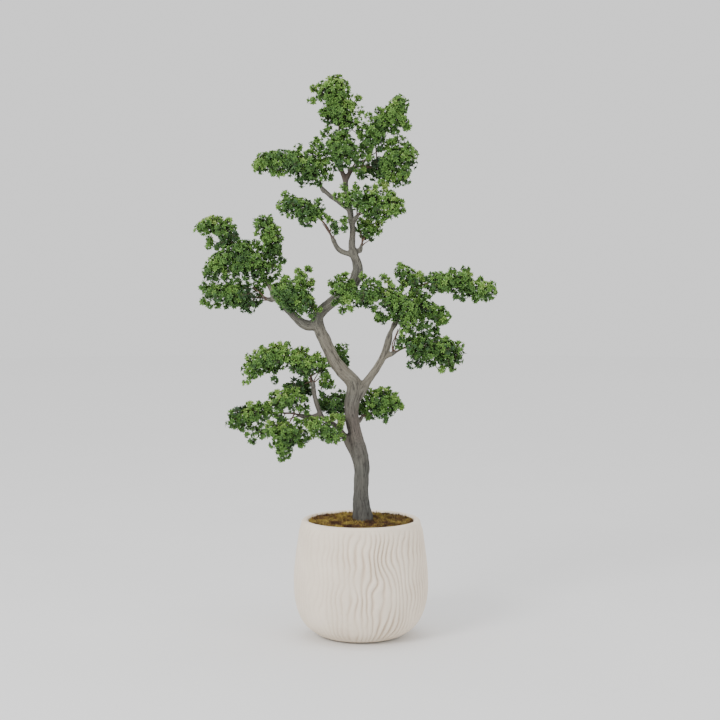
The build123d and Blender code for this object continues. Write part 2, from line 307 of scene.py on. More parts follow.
def linear(value):
    """A 0 to 255 display value, as the linear value the shader takes."""
    v = value / 255
    return v / 12.92 if v <= 0.04045 else ((v + 0.055) / 1.055) ** 2.4


def srgb(r, g, b):
    """A colour given as 0 to 255 display values."""
    return linear(r), linear(g), linear(b)


FULL = (0.0, 1.0)  # the span of an attribute that runs from 0 to 1


def planter_material():
    m = Nodes("planter_clay", 0.82)
    where = m.place()
    grit = m.noise(where, 900, 4, 0.65)
    mottled = m.ramp(m.noise(where, 22, 3), [(0.3, srgb(231, 217, 197)), (0.72, srgb(243, 230, 211))])
    # painted shade: the clay is darkened along the middle of each groove, where shade falls in the hollow
    groove_shaded = m.tinted(mottled, m.attribute("groove"), FULL, 0.8, srgb(200, 180, 158))
    m.colour(m.tinted(groove_shaded, grit, (0.42, 0.75), 0.3, srgb(190, 177, 162)))
    m.bump(grit, 0.25, 0.0006)
    return m.material


def bark_material():
    m = Nodes("moulded_bark", 0.85)
    grain = m.attribute("grain", "Vector")
    fibre = m.noise(grain, 1.0, 6, 0.6)
    fine = m.noise(grain, 3.6, 5, 0.65)
    patches = m.noise(m.place(), 26, 3)
    bark = m.ramp(fibre, [(0.28, srgb(62, 61, 56)), (0.5, srgb(92, 91, 83)), (0.72, srgb(124, 123, 112))])
    bark = m.tinted(bark, patches, (0.4, 0.68), 0.45, srgb(114, 107, 94))
    bark = m.tinted(bark, m.attribute("pale"), FULL, 0.42, srgb(140, 131, 114))
    bark = m.tinted(bark, m.attribute("brown"), FULL, 0.5, srgb(84, 70, 66))
    bark = m.tinted(bark, m.attribute("low"), FULL, 0.65, srgb(66, 67, 66))
    # painted shade: the bark is darkened in its fissures and low places, and less on raised lumps
    bark = m.tinted(bark, m.attribute("crevice_shade"), (0.35, 0.95), 0.7, srgb(40, 37, 34))
    bark = m.tinted(bark, fine, (0.45, 0.75), 0.5, srgb(54, 51, 46))
    m.colour(m.tinted(bark, m.attribute("twiggy"), FULL, 1, srgb(72, 58, 50)))
    m.bump(fine, 0.5, 0.0008)
    return m.material


def twig_material():
    m = Nodes("twig", 0.7)
    streaks = m.noise(m.place(), 260, 4)
    brown = m.ramp(streaks, [(0.3, srgb(62, 44, 35)), (0.55, srgb(94, 68, 54)), (0.8, srgb(130, 102, 82))])
    m.colour(m.mix(m.attribute("thin"), brown, srgb(50, 54, 32)))
    m.bump(streaks, 0.4, 0.0004)
    return m.material


def leaf_material():
    m = Nodes("leaf", 0.62)
    m.shader.inputs["Specular IOR Level"].default_value = 0.3
    cells = m.noise(m.place(), 700, 3)
    # the tone value mixes each leaf's own green with painted light and painted shade: low is shaded dark green,
    # high lit pale green
    green = m.ramp(m.attribute("tone"), [(0.0, srgb(25, 47, 31)), (0.28, srgb(48, 79, 45)),
                                         (0.52, srgb(75, 112, 52)), (0.76, srgb(107, 147, 66)),
                                         (1.0, srgb(157, 178, 98))])
    hearted = m.tinted(green, m.attribute("heart"), FULL, 0.22, srgb(140, 168, 84))
    m.colour(m.tinted(hearted, cells, (0.4, 0.8), 0.3, srgb(40, 68, 30)))
    m.bump(cells, 0.3, 0.0003)
    return m.material


def moss_material():
    m = Nodes("moss", 0.95)
    where = m.place()
    patches = m.noise(where, 60, 5, 0.66)
    flecks = m.noise(where, 330, 5, 0.7)
    moss = m.ramp(patches, [(0.38, srgb(72, 42, 34)), (0.47, srgb(118, 82, 44)),
                            (0.53, srgb(180, 154, 72)), (0.7, srgb(210, 188, 98))])
    shade = m.ramp(m.attribute("tone"), [(0.0, grey(0.85)), (0.5, grey(0.2)), (1.0, grey(0))])
    moss = m.mix(shade, moss, srgb(44, 31, 22))
    m.colour(m.tinted(moss, flecks, (0.48, 0.7), 0.5, srgb(70, 48, 34)))
    m.bump(flecks, 0.8, 0.001)
    return m.material


def plain_material(name, dark, light, scale, roughness):
    m = Nodes(name, roughness)
    speckle = m.noise(m.place(), scale, 5)
    m.colour(m.ramp(speckle, [(0.35, dark), (0.65, light)]))
    m.bump(speckle, 0.3, 0.0005)
    return m.material


CLAY = planter_material()
BARK = bark_material()
TWIG = twig_material()
LEAF = leaf_material()
MOSS = moss_material()
CEMENT = plain_material("cement", srgb(130, 126, 120), srgb(165, 160, 152), 160, 0.9)
FOAM = plain_material("foam", srgb(52, 78, 50), srgb(70, 98, 64), 900, 0.95)
STEEL = plain_material("rod_steel", srgb(120, 120, 122), srgb(160, 160, 162), 500, 0.4)
for hidden, material in (("ballast", CEMENT), ("foam_disc", FOAM), ("core_rod", STEEL)):
    frame["nodes"][hidden].data.materials.clear()
    frame["nodes"][hidden].data.materials.append(material)

# ------------------------------------------------------------------ planter
LINES = 68  # grooves round the planter
CALM = math.radians(208)  # the way the calmer side of the wall faces, where the grooves are shallow
PLANTER_SIDES = 560
FOOT_ROWS = 8  # rings of points under the planter
WALL_ROWS = 142  # up its outside
LIP_ROWS = 12  # over the lip
INSIDE_ROWS = 14  # down inside, to the moss


def pot_hit(origin, towards):
    """Where a ray meets the CAD's planter."""
    hit, place, *_ = frame["nodes"]["pot"].ray_cast(Vector(origin), Vector(towards))
    return place if hit else None


def planter_profile(height):
    """(radius, height) from the middle of the underside, up the outside, over the lip and down the inside."""
    profile = [(r, 0.0) for r in np.linspace(0.004, 0.049, FOOT_ROWS)]
    for z in height * (0.5 - 0.5 * np.cos(np.linspace(0.06, math.pi - 0.12, WALL_ROWS))):
        profile.append((pot_hit((0.3, 0, z), (-1, 0, 0)).x, z))
    moss_low, moss_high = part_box("moss_mat")
    for r in np.linspace(profile[-1][0] - 0.0008, moss_high.x + 0.0012, LIP_ROWS):
        place = pot_hit((r, 0, height + 0.05), (0, 0, -1))
        if place:
            profile.append((r, place.z))
    for z in np.linspace(height - 0.004, moss_low.z, INSIDE_ROWS):
        place = pot_hit((0, 0, z), (1, 0, 0))
        if place:
            profile.append((place.x, z))
    return np.array(profile)


def grooves(a, z):
    """The hollows of the wall at each angle and height, the share of their depth that they have there, and how
    near each place is to a groove's middle (0 to 1). The grooves run down the wall, swayed by slow noise, and
    the clay between them is softly rounded."""
    slow = np.stack([np.cos(a), np.sin(a), z / 0.110], -1)
    sway = 1.25 * noise(slow * 1.5, 3) + 0.95 * noise(slow * 2.9 + 9, 8) + 0.16 * noise(slow * 7, 12)
    across = (LINES * a / (2 * math.pi) + sway) % 1.0
    ridge = np.abs(np.sin(math.pi * across))
    half = np.abs(np.sin(math.pi * (2 * across + 0.35 * noise(slow * 5, 17))))
    narrow = np.exp(-(np.minimum(across, 1 - across) / 0.17) ** 2)
    doubled = np.clip(0.2 + 1.6 * noise(slow * 2.6 + 3, 44), 0, 0.5)
    hollow = 0.0023 * (1 - ridge ** 0.9) + doubled * 0.0009 * (1 - half) + 0.0005 * narrow
    lively = np.clip((0.94 - np.cos(a - CALM)) / 0.38, 0, 1)
    depth = np.clip(0.85 + 0.9 * noise(slow * 2.2 + 7, 40), 0.3, 1.25) * (0.25 + 0.75 * lively)
    return hollow, depth, narrow


def planter():
    """The CAD's profile turned round, with the grooves in its wall."""
    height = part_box("pot")[1].z
    profile = planter_profile(height)
    normal = unit(np.stack([np.gradient(profile[:, 1]), -np.gradient(profile[:, 0])], -1))
    r, z = np.repeat(profile[:, 0], PLANTER_SIDES), np.repeat(profile[:, 1], PLANTER_SIDES)
    nr, nz = np.repeat(normal[:, 0], PLANTER_SIDES), np.repeat(normal[:, 1], PLANTER_SIDES)
    a = np.tile(np.arange(PLANTER_SIDES) / PLANTER_SIDES * 2 * math.pi, len(profile))
    outside = np.repeat(np.arange(len(profile)) < FOOT_ROWS + WALL_ROWS, PLANTER_SIDES)
    # the grooves fade out below the lip and above the foot
    fade = np.clip((height - 0.0035 - z) / 0.010, 0, 1) * np.clip((z - 0.001) / 0.010, 0, 1) * outside
    fade = fade * fade * (3 - 2 * fade)
    hand = 0.00025 * noise(np.stack([np.cos(a) * 3, np.sin(a) * 3, z / 0.03], -1), 50)
    hollow, depth, narrow = grooves(a, z)
    lift = -fade * hollow * depth + hand * outside * np.clip(z / 0.01, 0, 1)
    rr = r + nr * lift
    verts = np.stack([rr * np.cos(a), rr * np.sin(a), z + nz * lift], -1)
    pot = array_object("planter", verts, ring_quads(len(profile), PLANTER_SIDES))
    # this value places the painted shade along the middles of the grooves
    point_values(pot, "groove", np.clip(fade * narrow * depth, 0, 1))
    pot.data.materials.append(CLAY)
    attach(pot, "tree")
    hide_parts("pot")


planter()

# ------------------------------------------------------------------ trunk and limbs
# the middle line of the trunk and each limb, in the plane y = 0: (x, z, radius) in millimetres
ROUTES = {
    "trunk": [
        (2, 160, 18), (2, 174, 15), (2, 190, 14.2), (0, 206, 12.3), (0, 225, 11.3), (1.5, 250, 11.3),
        (0, 270, 11.6), (-6, 297, 10.6), (-13, 326, 10.4), (-14, 350, 11), (-10, 370, 12), (-12, 385, 12),
        (-24, 397, 10.6), (-39, 415, 9.8), (-51, 440, 9.6), (-60, 459, 9.2), (-65, 475, 9.4), (-61, 488, 9),
        (-50, 499, 8.4), (-34, 511, 8.3), (-16, 526, 8.4), (-6, 545, 9), (-6, 562, 7.4), (-12, 579, 6.2),
        (-13, 598, 5), (-13, 619, 4.6), (-15, 634, 4.6), (-19, 653, 4.4), (-22, 671, 4.1), (-23, 688, 4)],
    "lower_left_limb": [
        (-2, 252, 7), (-11, 266, 6), (-19, 284, 5.2), (-26, 298, 4.8), (-35, 315, 4.5), (-47, 324, 4.2),
        (-59, 331, 4.2), (-72, 332.5, 4), (-86, 333, 3.7)],
    "lower_fork": [(-56, 328, 3.2), (-61, 337, 3.9), (-66, 350, 3.8), (-69, 361, 3.7), (-72, 379, 3.7)],
    "left_limb": [
        (-64, 469, 7.2), (-74, 469, 8.2), (-85, 471, 7.8), (-96, 480, 6.8), (-106, 489.5, 6.1),
        (-116, 500, 5.6), (-125, 509, 5.2), (-132, 521, 4.8), (-137, 531, 4)],
    "right_limb": [
        (-12, 348, 6.8), (-5, 363, 8.2), (4, 378, 8), (12, 389, 6.3), (20, 400, 5.8), (31, 418, 5.7),
        (37, 432, 5.6), (42, 450, 5.2), (49, 469, 4.9), (55, 480, 3.9)],
    "small_left_limb": [(-8, 571, 3.9), (-20, 576.5, 4.1), (-31, 581, 4), (-37, 588, 3.9), (-40, 594, 3.7)],
    "top_left_limb": [(-17, 641, 3.5), (-25, 647, 3.9), (-34, 654, 3.9), (-44, 661, 3.8), (-55, 670, 3.7)],
}
# the swelling between the trunk and the foot of the lower left limb
WEB = [(-1, 238, 8.5), (-4, 256, 7), (-9.5, 272, 5.6), (-17, 289, 5.5), (-24.5, 303, 5), (-33, 314, 4)]
TRUNK_NODES = ["trunk_lower", "trunk_middle", "trunk_upper", "leader"]
WOOD_NODES = TRUNK_NODES + ["lower_left_limb", "left_limb", "right_limb", "small_left_limb", "top_left_limb"]
SEAMS = (0.3855, 0.4755, 0.634)  # the heights at which the trunk's pieces meet
VOXEL = 0.0011  # fineness of the wood's skin
ROUTE_SHIFT = 0.7  # between the fibres of one route and the next, so that no two are alike
GRAIN_SCALE = (260, 260, 26)  # of the bark's fibres: two directions round the wood, then along it
CHUNK = 8000  # points compared with a route at a time


def wood_route(points):
    """A curve in metres through (x, z, radius) points in millimetres, in the plane y = 0."""
    return smooth_route(np.insert(np.array(points, float), 1, 0, axis=1) * MM, 0.002)


def wood_blank():
    """The CAD's wood and the swelling, gathered into one mesh."""
    swelling = Soup()
    web = wood_route(WEB)
    swelling.tube(web[:, :3], web[:, 3], 24)
    swelling = swelling.build("web_blank")
    meshes = {node: frame["nodes"][node].data for node in WOOD_NODES + ["core_rod"]}
    meshes["web"] = swelling.data
    verts, faces, base = [], [], 0
    for node, mesh in meshes.items():
        co = mesh_values(mesh.vertices, "co", 3)
        if node == "lower_left_limb":
            # its foot is drawn in towards the trunk, so that it grows out of it without a step
            z = co[:, 2]
            co[:, 0] += 0.0035 * np.clip((0.325 - z) / 0.03, 0, 1) + 0.0015 * np.clip((0.27 - z) / 0.015, 0, 1)
        verts.append(co)
        faces += [tuple(v + base for v in p.vertices) for p in mesh.polygons]
        base += len(mesh.vertices)
    bpy.data.objects.remove(swelling)
    return mesh_object("wood_blank", np.vstack(verts).astype(float), faces)


def wood_skin():
    """The blank as one smooth skin."""
    blank = wood_blank()
    remesh = blank.modifiers.new("skin", "REMESH")
    remesh.mode = "VOXEL"
    remesh.voxel_size = VOXEL
    ease = blank.modifiers.new("ease", "SMOOTH")
    ease.factor = 0.6
    ease.iterations = 14
    skin = bpy.data.meshes.new_from_object(blank.evaluated_get(bpy.context.evaluated_depsgraph_get()))
    bpy.data.objects.remove(blank)
    return skin


def along_routes(co):
    """The nearest route's number for each point, the wood's radius there, and the point's place round and
    along the wood."""
    best = np.full(len(co), 1e9)
    grain = np.zeros((len(co), 3))
    size = np.zeros(len(co))
    owner = np.zeros(len(co), int)
    for k, points in enumerate(ROUTES.values()):
        route = wood_route(points)
        centres, radii = route[:, :3], route[:, 3]
        t, side, up = frames_along(centres)
        run = np.concatenate([[0], np.cumsum(np.linalg.norm(np.diff(centres, axis=0), axis=1))])
        for chunk in np.array_split(np.arange(len(co)), max(1, len(co) // CHUNK)):
            offset = co[chunk][:, None] - centres[None]
            gap = np.linalg.norm(offset, axis=2) - radii[None]
            near = gap.argmin(1)
            value = gap[np.arange(len(chunk)), near]
            take = value < best[chunk]
            idx, near = chunk[take], near[take]
            best[idx] = value[take]
            o = co[idx] - centres[near]
            turn = np.arctan2((o * up[near]).sum(1), (o * side[near]).sum(1))
            r = radii[near]
            grain[idx] = np.stack([np.cos(turn) * r, np.sin(turn) * r, run[near] + (o * t[near]).sum(1)], -1)
            grain[idx, 2] += k * ROUTE_SHIFT
            size[idx] = r
            owner[idx] = k
    return owner, size, grain


def bark_relief(g, size):
    """How far the bark stands out, and how deep in a fissure it lies, at places g (in mm) round and along it."""
    wave = g * (0.30, 0.30, 0.030)
    wave[:, 0] += 0.6 * noise(wave * 0.8 + 5, 2)
    fissure = np.clip((1 - np.abs(noise(wave, 11)) - 0.78) / 0.22, 0, 1) ** 1.3
    fine = np.clip((1 - np.abs(noise(wave * (2.4, 2.4, 2.0), 14)) - 0.7) / 0.3, 0, 1) ** 1.4
    lumps = noise(g * (0.09, 0.09, 0.045), 17)
    knots = layered(g * (0.22, 0.22, 0.11), 2, 19)
    scale = np.clip(size / 0.011, 0.3, 1.1)
    lift = scale * (0.0011 * lumps + 0.00045 * knots - 0.0009 * fissure - 0.00038 * fine)
    return lift, np.clip(0.9 * fissure + 0.55 * fine - 0.25 * lumps, 0, 1)


def wood():
    """The wood's skin, given its fissures, then parted again into the pieces it is moulded in."""
    skin = wood_skin()
    co = mesh_values(skin.vertices, "co", 3).astype(float)
    owner, size, grain = along_routes(co)
    lift, crevice_shade = bark_relief(grain * 1000, size)
    co += mesh_values(skin.vertices, "normal", 3).astype(float) * lift[:, None]
    skin.vertices.foreach_set("co", co.astype(np.float32).ravel())
    skin.update()
    z = co[:, 2]
    values = {
        "grain": grain * GRAIN_SCALE,
        # painted shade in the bark's fissures
        "crevice_shade": crevice_shade,
        "low": np.clip((0.30 - z) / 0.10, 0, 1),
        "brown": np.exp(-((z - 0.318) / 0.036) ** 2),
        "pale": np.exp(-((z - 0.415) / 0.040) ** 2),
        "twiggy": 0.75 * np.clip((z - 0.668) / 0.02, 0, 1),
    }
    # each face goes to the CAD node whose piece it covers
    quads = mesh_values(skin.loops, "vertex_index", 1, np.int32).reshape(-1, 4)
    piece = np.array(list(ROUTES), object)[owner[quads[:, 0]]]
    piece[piece == "lower_fork"] = "lower_left_limb"
    trunk = piece == "trunk"
    heights = mesh_values(skin.polygons, "center", 3)[trunk, 2]
    piece[trunk] = np.array(TRUNK_NODES, object)[np.digitize(heights, SEAMS)]
    normals = mesh_values(skin.vertices, "normal", 3)
    for label in WOOD_NODES:
        chosen = quads[piece == label]
        used, corners = np.unique(chosen, return_inverse=True)
        bark = array_object(label + "_bark", co[used], corners.reshape(chosen.shape))
        for name, value in values.items():
            point_values(bark, name, value[used])
        bark.data.normals_split_custom_set_from_vertices(normals[used].tolist())
        bark.data.materials.append(BARK)
        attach(bark, "tree")
        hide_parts(label)


wood()

# ------------------------------------------------------------------ sprays: wires, twigs and leaves
# the wires of each spray beyond its joint, as in the CAD, in millimetres; the first is the main one
WIRES = {
    "crown_main": [
        [(-33, -2, 735), (-33, -3, 765), (-36, -4, 800)], [(-31, -1, 713), (-28, -15, 722), (-18, -20, 729)],
        [(-33, -3, 765), (-22, 1, 788)]],
    "crown_right": [
        [(0, 8, 707), (24, 14, 704), (45, 4, 712), (64, 0, 718)],
        [(24, 14, 704), (22, 4, 735), (20, -1, 755), (44, 0, 778)]],
    "crown_left": [
        [(-68, -2, 688), (-84, -3, 704), (-102, -4, 711), (-122, 0, 711), (-142, 2, 711)],
        [(-68, -2, 688), (-66, -4, 704)]],
    "crown_low": [
        [(2, -20, 642), (20, -23, 648), (44, -23, 652)], [(2, -20, 642), (-8, -26, 652), (-20, -27, 657)]],
    "small_left": [
        [(-50, -1, 615), (-64, -2, 630), (-86, -2, 638), (-104, -2, 648)],
        [(-46, -1, 609), (-44, -9, 615), (-41, -14, 620)]],
    "small_right": [[(3, 8, 597), (9, 12, 607), (18, 14, 614)]],
    "left_main": [
        [(-150, 0, 548), (-167, -1, 562), (-192, -2, 570), (-214, -2, 560)],
        [(-167, -1, 562), (-190, 1, 590), (-206, 3, 610), (-222, 4, 620)],
        [(-147, 0, 544), (-137, 5, 570), (-133, 8, 595), (-139, 8, 614)]],
    "left_low": [
        [(-150, 0, 511), (-172, -3, 511), (-200, -4, 515), (-218, -4, 517)],
        [(-172, -3, 511), (-186, -4, 505)]],
    "left_front": [
        [(-104, -20, 505), (-97, -25, 520), (-90, -25, 538)], [(-104, -20, 505), (-117, -25, 520)],
        [(-104, -20, 505), (-88, -25, 504), (-76, -25, 500)]],
    "right_end": [
        [(62, -4, 497), (45, -20, 507), (20, -33, 514), (-4, -38, 519), (-24, -38, 516)],
        [(62, -4, 497), (74, 3, 520), (72, 6, 541)],
        [(74, 3, 520), (100, 0, 533), (130, 0, 534), (160, 0, 527), (188, 0, 520)],
        [(62, -4, 497), (84, 5, 492), (100, 4, 492), (116, 4, 484)]],
    "right_low": [
        [(62, -3, 435), (84, -8, 438), (110, -3, 434), (138, -2, 432)], [(84, -8, 438), (93, -9, 427)]],
    "lower_upper": [
        [(-75, 0, 393), (-90, -2, 410), (-118, -5, 422), (-150, -6, 415)], [(-75, 0, 393), (-68, -3, 408)],
        [(-75, 0, 393), (-56, 18, 403), (-30, 31, 413)], [(-73, 0, 386), (-83, 14, 381), (-96, 23, 375)]],
    "lower_left": [
        [(-99, -4, 337), (-130, 0, 338), (-160, 2, 337), (-184, 2, 331)],
        [(-99, -4, 337), (-105, -12, 350), (-110, -14, 359)],
        [(-99, -4, 337), (-109, -6, 320), (-115, -6, 300), (-117, -6, 282)]],
    "lower_front": [[(-54, -19, 320), (-70, -26, 323)], [(-54, -19, 320), (-44, -26, 310)]],
    "lower_back": [[(-35, 19, 330), (-42, 24, 347)]],
    "lower_right": [[(8, 19, 338), (22, 20, 350), (44, 20, 354)]],
}
# thinner stems that leave the limb's end beside the wires, in millimetres
STRAYS = {
    "crown_main": [
        [(-30, -1, 706), (-34, 2, 716), (-38, 3, 728), (-41, 3, 742)],
        [(-30, -2, 706), (-27, -7, 715), (-22, -10, 724)], [(-31, -1, 705), (-39, -3, 712), (-50, -6, 722)]],
    "crown_right": [
        [(-13, 3, 704), (-5, 4, 716), (3, 3, 728), (10, 1, 738)], [(-12, 4, 704), (-6, 8, 716), (-3, 8, 730)],
        [(-11, 4, 704), (6, 4, 716), (24, 2, 728), (38, 1, 736)]],
    "crown_left": [
        [(-59, 0, 674), (-64, 1, 680), (-72, 2, 690), (-78, 0, 698)],
        [(-59, 0, 675), (-60, -3, 683), (-57, -5, 694)]],
    "crown_low": [
        [(-6, -13, 632), (-6, -16, 642), (-4, -19, 652)], [(-5, -13, 632), (3, -16, 637), (12, -18, 640)]],
    "small_left": [
        [(-41, 0, 598), (-40, -2, 604), (-36, -5, 610), (-32, -8, 616)],
        [(-42, 0, 598), (-46, 1, 605), (-51, 2, 612), (-58, 1, 621)]],
    "small_right": [
        [(0, 3, 586), (1, 5, 594), (0, 8, 604), (-2, 10, 613)], [(1, 4, 586), (6, 7, 592), (13, 10, 597)]],
    "left_main": [
        [(-141, 0, 537), (-148, 3, 541), (-158, 4, 548), (-170, 4, 552)],
        [(-140, 0, 537), (-141, 3, 546), (-144, 5, 558)], [(-142, 0, 536), (-152, -3, 540), (-164, -4, 543)]],
    "left_low": [
        [(-138, 1, 509), (-146, -1, 514), (-153, -3, 520), (-160, -3, 526)],
        [(-138, 1, 507), (-148, -2, 507), (-160, -4, 502)]],
    "left_front": [
        [(-107, -13, 496), (-112, -18, 506), (-114, -21, 516)],
        [(-106, -13, 496), (-96, -19, 502), (-86, -22, 512)]],
    "right_end": [
        [(57, 0, 485), (60, 3, 493), (68, 5, 503), (74, 5, 512)],
        [(56, -1, 485), (54, -6, 493), (48, -12, 500)], [(57, 0, 484), (64, -4, 488), (74, -8, 487)]],
    "right_low": [
        [(48, 1, 429), (49, 2, 438), (52, 2, 450), (57, 2, 462), (62, 0, 472)],
        [(47, -1, 429), (47, -2, 440), (51, -3, 453), (55, -4, 464)],
        [(49, 0, 429), (53, -2, 437), (60, -5, 446), (66, -8, 452)]],
    "lower_upper": [
        [(-72, 0, 383), (-68, -3, 391), (-63, -4, 399), (-60, -4, 406)],
        [(-73, 0, 383), (-79, -2, 392), (-84, -3, 401), (-92, -3, 409)],
        [(-71, 1, 383), (-64, 2, 389), (-55, 3, 392)], [(-73, -1, 383), (-76, -4, 390), (-72, -5, 400)]],
    "lower_left": [
        [(-90, 0, 333), (-98, 2, 332), (-108, 3, 328), (-118, 2, 326)],
        [(-90, 0, 334), (-94, -4, 341), (-95, -8, 350)]],
    "lower_front": [
        [(-50, -13, 322), (-57, -19, 326), (-64, -22, 330)],
        [(-50, -13, 321), (-46, -18, 315), (-38, -22, 313)]],
    "lower_right": [[(1, 14, 329), (8, 17, 333), (18, 19, 336)], [(0, 15, 330), (4, 18, 341), (6, 19, 349)]],
}
